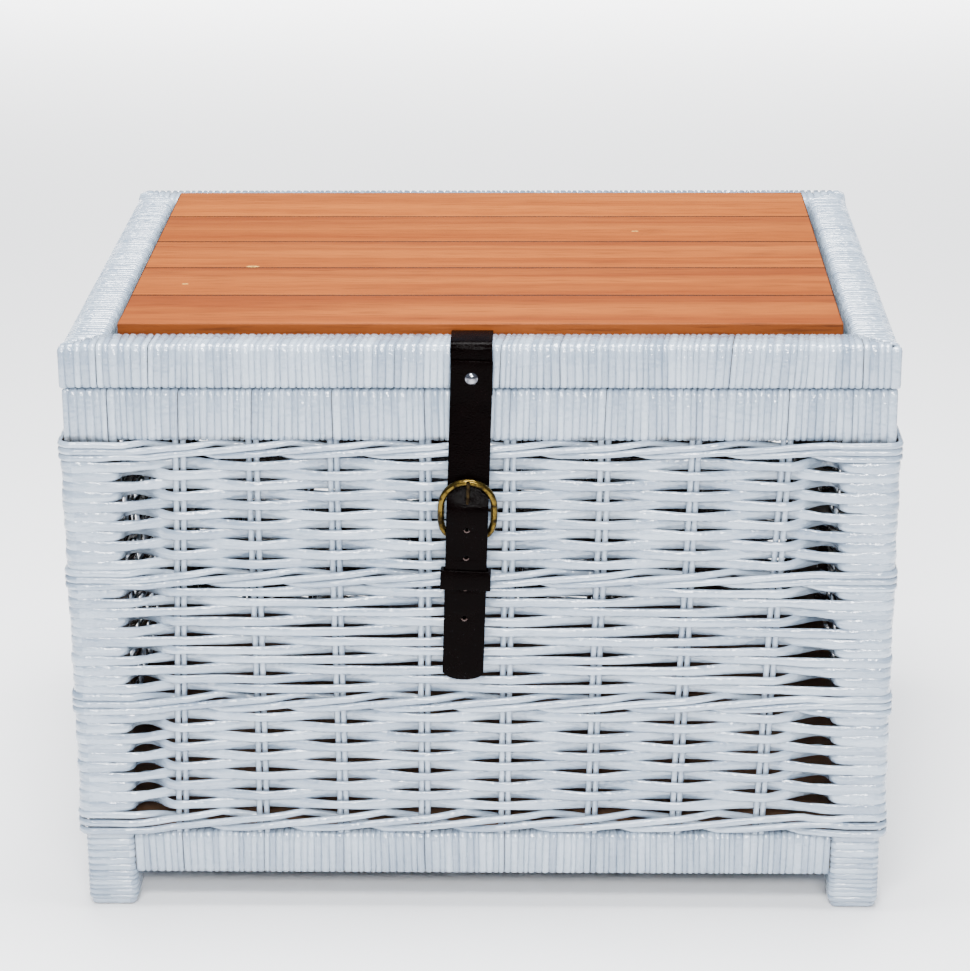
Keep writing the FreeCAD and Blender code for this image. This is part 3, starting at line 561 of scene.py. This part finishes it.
def wale(name, raised=0.0):
    """Three round canes that climb in turn: each passes two pairs outside, low and then high, then one
    inside."""
    low, high = span(name)
    middle = (low[2] + high[2]) / 2 + raised
    thick, tall = 2.3, min((high[2] - low[2]) / 6, 2.8)
    reach = (high[2] - low[2]) / 2 - tall
    strands = []
    for cane in range(3):
        def phase(side, k, cane=cane):
            return (k + FIRST_PAIR[side] + cane) % 3

        def lift(side, s, o, phase=phase):
            pairs = pairs_at(side, middle)
            gaps = np.diff(pairs)
            stops = np.concatenate(([pairs[0] - gaps[0]], pairs, [pairs[-1] + gaps[-1]]))
            at = np.interp(s, stops, np.arange(len(stops)) - 1.0)
            turn = phase(side, 0) + at
            level = np.interp(turn % 3, (0.0, 0.5, 1.0, 2.0, 2.5, 3.0), (0.0, -1.0, -0.52, 0.52, 1.0, 0.0))
            if s < 0:
                corner = (1.0, -1.0, 0.0)[phase(side, 0)]
            else:
                corner = (-1.0, 0.0, 1.0)[phase(side, len(pairs) - 1)]
            half = HALF[side]
            fade = np.interp(abs(s), (max(abs(pairs[0]), abs(pairs[-1])) + 10, half - 22), (0.0, 1.0))
            return reach * (level * (1 - fade) + corner * fade)

        path, _ = row_path(middle, lambda side, k: 0 <= k < len(FOOT_OF_PAIRS[side]) and phase(side, k) == 0,
                           2.6 + thick, -(STAKE_RADIUS + thick), 7.6, lift, wander(0.4), spacing=4.5)
        strands.append(strand(path, oval(thick, tall, 10, 2.0), UP))
    return piece_of(name + "_cane", strands, round_cane, "trunk", "woven_cane", name)


for level, raised in (("bottom", -0.8), ("lower", 0.0), ("upper", 0.0), ("top", 1.4)):
    wale("wale_" + level, raised)


def stakes(side):
    """Pairs of round rods, upright in the wall, each swaying a little."""
    rods = []
    low, high = span("stakes_" + side)
    inward = np.array(on_wall(side, 0, 0, 0)) - np.array(on_wall(side, 1, 0, 0))
    for k in range(len(FOOT_OF_PAIRS[side])):
        for rod in (-2.55, 2.55):
            heights = np.linspace(low[2], high[2], 30)
            sway = chance.uniform(-0.5, 0.5), chance.uniform(0, 6)
            spread = rod * chance.uniform(0.9, 1.06)
            along = [pairs_at(side, z)[k] + spread + sway[0] * math.sin(z / 45 + sway[1]) for z in heights]
            path = np.array([on_wall(side, s, 0.0, z) for s, z in zip(along, heights)])
            rods.append(strand(path, oval(2.1, 2.2, 10, 2.0), inward, closed=False))
    return piece_of("stake_rods_" + side, rods, round_cane, "trunk", "stake_cane", "stakes_" + side)


for side in SIDES:
    stakes(side)


# ---------------------------------------------------------------- cane wound round the frame

AXES = {"x": (1, 2, 0), "y": (2, 0, 1), "z": (0, 1, 2)}
CANE_THICK = 1.75


def ring(axis, at, low, high, radii, width, bulge, face_lean=0.0, top_skew=0.0):
    """One turn of cane round a timber of rectangular section, low to high being the outside of the cane.
    radii are those of the four corners, in the order of travel. The turn leans by face_lean up the outer
    face and goes over the top aslant by top_skew."""
    p, q, a = AXES[axis]
    p0, p1, q0, q1 = low[p] + CANE_THICK, high[p] - CANE_THICK, low[q] + CANE_THICK, high[q] - CANE_THICK
    limit = min(p1 - p0, q1 - q0) / 2 - 0.1
    corners = []
    for n, (cp, cq) in enumerate(((p1, q0), (p1, q1), (p0, q1), (p0, q0))):
        r = min(max(radii[n] - CANE_THICK, 0.6), limit)
        cp += r if cp == p0 else -r
        cq += r if cq == q0 else -r
        for turn in (0, 45, 90):
            t = math.radians(90 * n - 90 + turn)
            corners.append((cp + r * math.cos(t), cq + r * math.sin(t)))
    flat = []
    for n in range(4):
        flat += corners[3 * n:3 * n + 3]
        end, begin = np.array(corners[3 * n + 2]), np.array(corners[(3 * n + 3) % 12])
        along = begin - end
        outward = np.array((along[1], -along[0])) / max(np.linalg.norm(along), 1e-6)
        flat.append(tuple((end + begin) / 2 + outward * bulge[n]))
    path = np.zeros((16, 3))
    path[:, (p, q)] = flat
    path[:, a] = at
    if axis != "z":
        across = 1 - a
        rise = (path[:, 2] - low[2]) / (high[2] - low[2])
        depth = (path[:, across] - low[across]) / (high[across] - low[across])
        path[:, a] += (face_lean + top_skew) * (rise - 0.5) + top_skew * (depth - 0.5) * (2 * rise - 1)
    w, t = width / 2, CANE_THICK
    lower = [(-0.4, -w), (0.6 * t, -w * 0.97), (t, -w * 0.42)]
    section = np.array(lower + [(out, -side) for out, side in lower[::-1]])
    up = np.zeros(3)
    up[a] = 1.0
    return strand(path, section, up)


def wound(axis, box_at, start, end, stops=(), pitch=5.1, slant=None, parting=0.5):
    """Turns of cane side by side from start to end along a timber, of uneven width, parted at each stop
    by a narrow dark gap. box_at gives the outside and the corner radii of the turn at a place, slant its
    lean and skew."""
    rings = []
    edges = [start] + [s for s in sorted(stops) if start + 4 < s < end - 4] + [end]
    for a, b in zip(edges[:-1], edges[1:]):
        a, b = a + (chance.uniform(0, parting) if a != start else 0), b - (0.12 if b != end else 0)
        count = max(1, round((b - a) / pitch))
        widths = chance.uniform(0.7, 1.25, count)
        widths *= (b - a) / widths.sum()
        at = a
        for width in widths:
            low, high, radii = box_at(at + width / 2)
            lean, skew = slant(at) if slant else (0.0, 0.0)
            bulge = chance.uniform(-0.2, 0.25, 4)
            rings.append(ring(axis, at + width / 2, low, high, radii, width * 1.02, bulge, lean, skew))
            at += width
    return rings


def drawn_in(distance, radius):
    """How far a rounded end of this radius lies inside its box, at a distance from the end."""
    short = max(0.0, radius - distance)
    return radius - math.sqrt(radius ** 2 - short ** 2)


def frame_of_cane(kind, body, slot, end_round, outer_top, hang, stops_of):
    """The cane on the four top rails of the body or the lid: mitred over the corners, where its ends are
    rounded by end_round at the top and the bottom, with an outer top edge of radius outer_top on the
    short sides, and hanging lower by hang at the corners."""
    front_low, front_high = span(kind + "_front")
    rear_high = span(kind + "_rear")[1]
    x0, x1, y0, y1 = front_low[0], front_high[0], front_low[1], rear_high[1]
    z0, z1 = front_low[2], front_high[2]
    deep = front_high[1] - front_low[1]
    for side in SIDES:
        long_side = side in ("front", "rear")
        axis, near, far = ("x", x0, x1) if long_side else ("y", y0, y1)

        def box_at(at):
            room = min(at - near, far - at)
            outer = drawn_in(room, 5.0)
            reach = min(deep, room + 3.0)
            low = [x0, y0, z0 + drawn_in(room, end_round[1]) - (hang if room < deep else 0.0)]
            high = [x1, y1, z1 - drawn_in(room, end_round[0])]
            n = 1 if long_side else 0
            if side in ("front", "left"):
                low[n], high[n] = low[n] + outer, low[n] + reach
            else:
                low[n], high[n] = high[n] - reach, high[n] - outer
            if long_side:
                radii = (5, 5, 5, 5)
            elif side == "left":
                radii = (outer_top, 5, 4, 5)
            else:
                radii = (5, outer_top, 5, 4)
            return np.array(low), np.array(high), radii

        phases = chance.uniform(0, 6, 2)

        def slant(at):
            room = min(at - near, far - at)
            calm = np.interp(room, (deep + 4, deep + 50), (0.0, 1.0))
            lean = 0.9 * math.sin(at / 37 + phases[0]) + 0.5 * math.sin(at / 13 + phases[1])
            if side == "front":
                lean += 1.8 * np.interp(at, (120, 230), (0.0, 1.0))
            return calm * lean, calm * (4.5 if long_side else 2.0)
        start, end = (near + 0.6, far - 0.6) if long_side else (near + 2.2, far - 2.2)
        inner = [start + deep - 6, end - deep + 6]
        stops = stops_of(side, axis, inner) + inner
        rings = wound(axis, box_at, start, end, stops, 4.9, slant, 0.5 if long_side else 1.3)
        piece_of(f"{kind}_{side}_turns", rings, bound_cane, body, slot, f"{kind}_{side}")


def along_rail(side, s):
    """Coordinate on the rail's own axis of a place s along a wall, as seen from outside."""
    return {"front": s, "rear": -s, "right": middle_y + s, "left": middle_y - s}[side]


frame_of_cane("top_rail_binding", "trunk", "bound_cane", (4.0, 0.5), 5, 2.0,
              lambda side, axis, inner: [along_rail(side, s) for s in pairs_at(side, 371)])
frame_of_cane("lid_binding", "lid", "bound_cane", (10.0, 5.0), 10, 0.0,
              lambda side, axis, inner: list(chance.uniform(*inner, 6)))

# the lower rails run between the legs, with a gap in the turns at each pair of stakes
lower_low, lower_high = span("bottom_rail_bindings")
rail_deep = 37.5
turns = []
for side in SIDES:
    n = 0 if side in ("front", "rear") else 1
    low, high = lower_low.copy(), lower_high.copy()
    if side in ("front", "left"):
        high[1 - n] = low[1 - n] + rail_deep
    else:
        low[1 - n] = high[1 - n] - rail_deep
    start, end = lower_low[n] + rail_deep, lower_high[n] - rail_deep
    stops = [along_rail(side, s) for s in pairs_at(side, 62)]
    turns += wound("xy"[n], lambda at, low=low, high=high: (low, high, (5, 5, 5, 5)), start, end, stops, 4.9,
                   lambda at: (0.8 * math.sin(at / 31), 2.0))
piece_of("bottom_rail_turns", turns, bound_cane, "trunk", "bound_cane", "bottom_rail_bindings")

# legs: thick turns beside the rail, finer ones on the foot, drawn in at the bottom edge
leg_low, leg_high = span("leg_bindings")
turns = []
for right in (0, 1):
    for rear in (0, 1):
        low, high = leg_low.copy(), leg_high.copy()
        for n, far in ((0, right), (1, rear)):
            if far:
                low[n] = high[n] - rail_deep
            else:
                high[n] = low[n] + rail_deep

        def foot_at(at, low=low, high=high):
            inward = np.array((1.0, 1.0, 0.0)) * drawn_in(at, 8.0)
            return low + inward, high - inward, (5, 5, 5, 5)
        turns += wound("z", foot_at, 29.0, 61.0, (), 5.6)
        turns += wound("z", foot_at, 1.0, 29.0, (), 3.8)
        # the foot's underside, closed by smaller and smaller turns
        for inset in (6.5, 9.5, 12.5, 15.5):
            inward = np.array((inset, inset, 0.0))
            turns.append(ring("z", 1.9, low + inward, high - inward, (4, 4, 4, 4), 3.4, (0, 0, 0, 0)))
piece_of("leg_turns", turns, bound_cane, "trunk", "bound_cane", "leg_bindings")


# ---------------------------------------------------------------- boards, leather and fittings

def only(piece):
    """Select one object alone and make it active."""
    bpy.ops.object.select_all(action="DESELECT")
    piece.select_set(True)
    bpy.context.view_layer.objects.active = piece


def set_in_place(piece):
    """Apply a piece's place, turn and scale to its mesh, so that its origin is the frame's."""
    only(piece)
    bpy.ops.object.transform_apply(location=True, rotation=True, scale=True)


def soften(piece, width, segments):
    """Round a piece's sharp edges by so many millimetres."""
    only(piece)
    rounding = piece.modifiers.new("rounding", "BEVEL")
    rounding.width = width * MM
    rounding.segments = segments
    rounding.limit_method = "ANGLE"
    rounding.angle_limit = math.radians(40)
    bpy.ops.object.modifier_apply(modifier="rounding")


def dress(piece, material, body, slot, *nodes):
    """Give a modelled piece its finish and its body, and hide the CAD nodes that it stands for; slot is not
    used. A piece given no body is left unattached here."""
    set_in_place(piece)
    bpy.ops.object.shade_smooth_by_angle(angle=math.radians(35))
    piece.data.materials.clear()
    piece.data.materials.append(material)
    if body:
        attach(piece, body)
    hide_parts(*nodes)
    return piece


def eased(node, width, steps=2):
    """A copy of a CAD node with its sharp edges rounded, as burnished leather or pressed steel has them."""
    source = frame["nodes"][node]
    copy = bpy.data.objects.new(node + "_eased", source.data.copy())
    bpy.context.scene.collection.objects.link(copy)
    only(copy)
    bpy.ops.object.mode_set(mode="EDIT")
    bpy.ops.mesh.select_all(action="SELECT")
    bpy.ops.mesh.remove_doubles(threshold=0.00001)
    bpy.ops.mesh.dissolve_limited(angle_limit=math.radians(3))
    bpy.ops.object.mode_set(mode="OBJECT")
    soften(copy, width, steps)
    return copy


# the timber under the cane, rounded more than the cane's own turns
for node in frame["nodes"]:
    if node.startswith(("post_", "lid_rail_", "top_rail_", "bottom_rail_")) and "binding" not in node:
        width = {"post": 8.0, "lid_": 9.0}.get(node[:4], 4.0)
        body = "lid" if node.startswith("lid") else "trunk"
        dress(eased(node, width, 3), softwood, body, "frame_wood", node)


def board(number):
    """A planed hardwood board with softened arrises, which look darker than its face."""
    low, high = span(f"lid_slat_{number}")
    bpy.ops.object.select_all(action="DESELECT")
    bpy.ops.mesh.primitive_cube_add(size=1, location=tuple((low + high) / 2 * MM))
    made = bpy.context.object
    made.name = f"lid_board_{number}"
    made.scale = tuple((high - low) * MM)
    set_in_place(made)
    soften(made, 1.1, 3)
    dress(made, meranti, "lid", "slat_wood", f"lid_slat_{number}")
    made.data.materials.append(meranti_edge)
    for face in made.data.polygons:
        if abs(face.normal.z) < 0.98:
            face.material_index = 1
    return made


for number in range(1, 6):
    board(number)

# ---- leather
# Inner face of the lid strap, (out from the lid's face, up from the rivet), in millimetres: it lies under the
# buckle's arc, bulges over the prong and the bar, and runs down flat through the keeper
STRAP_LINE = ((2.4, 13), (2.4, -18), (3.4, -34), (5.6, -66), (6.3, -74), (7.4, -79), (12.2, -88), (14.4, -94),
              (14.7, -101), (13.6, -112), (12.2, -124), (11.8, -136), (11.8, -161), (10.3, -183), (7.6, -231))
STRAP_UPS = (8, 3, -3, -7, -10, -13, -16, -19, -23, -29, -36, -50, -66, -71, -74, -76.5, -79, -81.5, -84, -86,
             -88, -90, -92, -94, -97, -101, -106, -112, -118, -124, -130, -136, -144, -152, -161, -172, -183,
             -196, -210, -221)
# half width and place of the corners of the shallow rounded tip
STRAP_TIP = ((15.0, -224.0), (14.0, -225.0), (12.2, -226.5), (9.0, -228.0), (5.4, -229.0), (1.8, -229.4))
STRAP_HOLES = (-88, -110, -132, -155.5, -179.5)
STRAP_PLACE = (-4.8, span("lid_rail_front")[0][1] - 1.75, 421.0)
STRAP_LEAN = math.radians(2)
LEATHER, STRAP_HALF, HOLE_RADIUS = 2.2, 15.0, 1.5


def strap_out(up):
    """How far out the strap's inner face lies at a height."""
    outs, ups = zip(*STRAP_LINE[::-1])
    return float(np.interp(up, ups, outs))


def set_upright(piece):
    """Lean a piece drawn in the strap's own frame and move it to the front of the lid."""
    piece.rotation_euler = (0, STRAP_LEAN, 0)
    piece.location = tuple(v * MM for v in STRAP_PLACE)
    set_in_place(piece)


def long_strap():
    """One length of leather drawn down from the rivet, over the buckle's bar and through the keeper."""
    bpy.ops.object.select_all(action="DESELECT")
    top, first = STRAP_LINE[0][1], STRAP_UPS[0]
    bpy.ops.mesh.primitive_cube_add(size=1, location=(0, -(strap_out(top) + LEATHER / 2) * MM,
                                                      (top + first) / 2 * MM))
    made = bpy.context.object
    made.name = "long_strap"
    made.scale = (2 * STRAP_HALF * MM, LEATHER * MM, (top - first) * MM)
    set_in_place(made)
    bpy.ops.object.mode_set(mode="EDIT")
    bpy.ops.mesh.select_mode(type="FACE")
    bpy.ops.mesh.select_all(action="DESELECT")
    bpy.ops.object.mode_set(mode="OBJECT")
    for face in made.data.polygons:
        face.select = face.normal.z < -0.9
    bpy.ops.object.mode_set(mode="EDIT")
    here, half = first, STRAP_HALF
    for wide, up in [(STRAP_HALF, up) for up in STRAP_UPS[1:]] + list(STRAP_TIP):
        outward = strap_out(up) - strap_out(here)
        bpy.ops.mesh.extrude_region_move(
            TRANSFORM_OT_translate={"value": (0, -outward * MM, (up - here) * MM)})
        if wide != half:
            bpy.ops.transform.resize(value=(wide / half, 1, 1), center_override=(0, 0, up * MM))
        here, half = up, wide
    bpy.ops.object.mode_set(mode="OBJECT")
    for up in STRAP_HOLES:
        bpy.ops.object.select_all(action="DESELECT")
        bpy.ops.mesh.primitive_cylinder_add(vertices=20, radius=HOLE_RADIUS * MM, depth=20 * MM,
                                            rotation=(math.pi / 2, 0, 0),
                                            location=(0, -(strap_out(up) + 1) * MM, up * MM))
        punch = bpy.context.object
        hole = made.modifiers.new("hole", "BOOLEAN")
        hole.object = punch
        hole.solver = "EXACT"
        only(made)
        bpy.ops.object.modifier_apply(modifier="hole")
        bpy.data.objects.remove(punch)
    soften(made, 0.55, 2)
    # the punch leaves a raised lip below each hole
    lips = []
    for up in STRAP_HOLES:
        tilt = math.atan2(strap_out(up - 2) - strap_out(up + 2), 4)
        bpy.ops.object.select_all(action="DESELECT")
        bpy.ops.mesh.primitive_torus_add(major_radius=(HOLE_RADIUS + 0.4) * MM, minor_radius=0.45 * MM,
                                         major_segments=24, minor_segments=8,
                                         rotation=(math.pi / 2 + tilt, 0, 0),
                                         location=(0, -(strap_out(up) + LEATHER) * MM, up * MM))
        lip = bpy.context.object
        set_in_place(lip)
        bpy.ops.object.mode_set(mode="EDIT")
        bpy.ops.mesh.select_all(action="SELECT")
        bpy.ops.mesh.bisect(plane_co=(0, 0, (up - 0.4) * MM), plane_no=(0, 0, 1), use_fill=True,
                            clear_outer=True)
        bpy.ops.object.mode_set(mode="OBJECT")
        lips.append(lip)
    only(made)
    face_count = len(made.data.polygons)
    for lip in lips:
        lip.select_set(True)
    bpy.ops.object.join()
    set_upright(made)
    dress(made, leather, None, "strap_leather", "lid_strap")
    # painted highlight: the lips below the holes take a lighter brown for the light on each lower rim, as
    # well as for raw fibres
    made.data.materials.append(hole_lip_fibre_and_glint)
    for face in made.data.polygons[face_count:]:
        face.material_index = 1
    return made


def round_rod(name, line, radii, turns):
    """A cast rod swept by hand: one disc extruded along a line of (across, out, up) points, turned at
    each of them by so many degrees in the strap's plane. radii gives its radius at each point."""
    bpy.ops.object.select_all(action="DESELECT")
    x, y, z = line[0]
    bpy.ops.mesh.primitive_circle_add(vertices=16, radius=radii[0] * MM, fill_type="NGON",
                                      location=(x * MM, -y * MM, z * MM),
                                      rotation=(0, math.radians(turns[0]), 0))
    made = bpy.context.object
    made.name = name
    set_in_place(made)
    bpy.ops.object.mode_set(mode="EDIT")
    bpy.ops.mesh.select_mode(type="FACE")
    bpy.ops.mesh.select_all(action="SELECT")
    for n in range(1, len(line)):
        step = [(b - a) * MM for a, b in zip(line[n - 1], line[n])]
        bpy.ops.mesh.extrude_region_move(TRANSFORM_OT_translate={"value": (step[0], -step[1], step[2])})
        centre = (line[n][0] * MM, -line[n][1] * MM, line[n][2] * MM)
        bpy.ops.transform.rotate(value=-math.radians(turns[n] - turns[n - 1]), orient_axis="Y",
                                 center_override=centre)
        bpy.ops.transform.resize(value=(radii[n] / radii[n - 1],) * 3, center_override=centre)
    bpy.ops.mesh.select_all(action="SELECT")
    bpy.ops.mesh.normals_make_consistent(inside=False)
    bpy.ops.object.mode_set(mode="OBJECT")
    return made


# where the buckle's bar lies in the strap's frame, the arc's radius and its middle above the bar
BAR_OUT, BAR_UP, ARC_RADIUS, ARC_UP = 7.3, -121.0, 19.0, 27.4
BAR_RADIUS, BAR_HALF, ROD_RADIUS = 1.95, 13.0, 2.5
TILT = math.tan(math.radians(7.6))


def horseshoe():
    """Cast brass frame: a round arc over the strap, and arms that curve in to the bar behind it."""
    outline = [(-11.5, 0.0), (-12.6, 3.6), (-15.4, 5.8), (-17.7, 9.4), (-18.9, 14.5), (-19.2, 20.5)]
    outline += [(-ARC_RADIUS * math.cos(math.radians(t)), ARC_UP + ARC_RADIUS * math.sin(math.radians(t)))
                for t in range(0, 91, 9)]
    outline += [(-x, up) for x, up in outline[-2::-1]]
    line = [(x, BAR_OUT + up * TILT, BAR_UP + up) for x, up in outline]
    turns = []
    for n in range(len(outline)):
        (x1, z1), (x2, z2) = outline[max(n - 1, 0)], outline[min(n + 1, len(outline) - 1)]
        turns.append(math.degrees(math.atan2(x2 - x1, z2 - z1)))
    radii = [2.0] + [ROD_RADIUS] * (len(outline) - 2) + [2.0]
    made = round_rod("buckle_horseshoe", line, radii, turns)
    bar = round_rod("buckle_bar", [(x, BAR_OUT, BAR_UP) for x in (-BAR_HALF, 0.0, BAR_HALF)],
                    [BAR_RADIUS] * 3, [90.0] * 3)
    only(made)
    bar.select_set(True)
    bpy.ops.object.join()
    set_upright(made)
    return dress(made, brass, "buckle", "buckle_brass", "buckle_frame")


strap = long_strap()
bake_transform(strap)
dress(eased("strap_tab", 0.5), leather, "lid", "strap_leather", "strap_tab")
dress(eased("body_strap", 0.5), leather, "trunk", "strap_leather", "body_strap")
dress(eased("strap_keeper", 0.6), leather, "keeper", "strap_leather", "strap_keeper")
horseshoe()

# ---------------------------------------------------------------- finishes on the CAD pieces that stay

for node, piece in frame["nodes"].items():
    if node.startswith(("lid_batten_l", "lid_batten_r", "base_bearer")):
        finish = softwood
    elif node.startswith("base_panel"):
        finish = plywood
    elif node.startswith(("hinge", "lid_batten_screws")):
        finish = white_steel
    elif node in ("strap_rivet", "body_strap_rivet"):
        finish = chrome
    elif node == "buckle_prong":
        finish = dark_brass
    else:
        continue
    for slot in piece.material_slots:
        slot.material = finish


# ---------------------------------------------------------------- floor, light and camera

bpy.ops.object.select_all(action="DESELECT")
bpy.ops.mesh.primitive_plane_add(size=30, location=(0, 6, 0))
floor = bpy.context.object
floor.name = "studio_floor"
material, tree = finish_of("pale_floor")
shader = add(tree, "BsdfPrincipled", {"Base Color": linear("fafafa"), "Roughness": 0.9,
                                                "Specular IOR Level": 0.1})
floor.data.materials.append(coated(material, shader))

world = bpy.data.worlds.new("studio_air")
bpy.context.scene.world = world
world.use_nodes = True
for node in list(world.node_tree.nodes):
    world.node_tree.nodes.remove(node)
sky = add(world.node_tree, "Background", {0: linear("dfe9ff"), 1: 0.45})
end = add(world.node_tree, "OutputWorld")
world.node_tree.links.new(sky.outputs[0], end.inputs[0])


def softbox(name, place, aim, size, power):
    """A rectangular studio light at a place, in metres, turned to its aim."""
    light = bpy.data.lights.new(name, "AREA")
    light.shape = "RECTANGLE"
    light.size, light.size_y = size
    light.energy = power
    lamp = bpy.data.objects.new(name, light)
    bpy.context.scene.collection.objects.link(lamp)
    lamp.location = place
    lamp.rotation_euler = (Vector(place) - Vector(aim)).to_track_quat("Z", "Y").to_euler()
    return light


softbox("overhead_softbox", (0, 0.1, 2.6), (0, 0, 0.3), (1.6, 1.2), 220)
softbox("front_softbox", (-0.4, -2.0, 2.4), (0, 0, 0.25), (0.9, 0.6), 84)
softbox("low_front_softbox", (0.3, -2.7, 1.6), (0, 0, 0.25), (1.2, 0.4), 92)
# lights the floor behind the trunk, with its beam kept off the trunk itself
softbox("backdrop_softbox", (0, 6.0, 4.5), (0, 6.5, 0), (6.0, 4.0), 1500).spread = math.radians(95)

# the camera looks down on the front from a little to the right, through a long lens
pitch, yaw, roll = math.radians(19.48), math.radians(-1.40), math.radians(-0.37)
ahead = Vector((math.sin(yaw) * math.cos(pitch), math.cos(yaw) * math.cos(pitch), -math.sin(pitch)))
right = Vector((math.cos(yaw), -math.sin(yaw), 0))
above = right.cross(ahead)
right, above = (math.cos(roll) * right + math.sin(roll) * above,
                -math.sin(roll) * right + math.cos(roll) * above)
lens = bpy.data.cameras.new("studio_camera")
lens.sensor_width = 36.0
lens.lens = 111.448
camera = bpy.data.objects.new("studio_camera", lens)
bpy.context.scene.collection.objects.link(camera)
turned = Matrix((right, above, -ahead)).transposed().to_4x4()
camera.matrix_world = Matrix.Translation((0.054, -2.2617, 1.060)) @ turned
bpy.context.scene.camera = camera
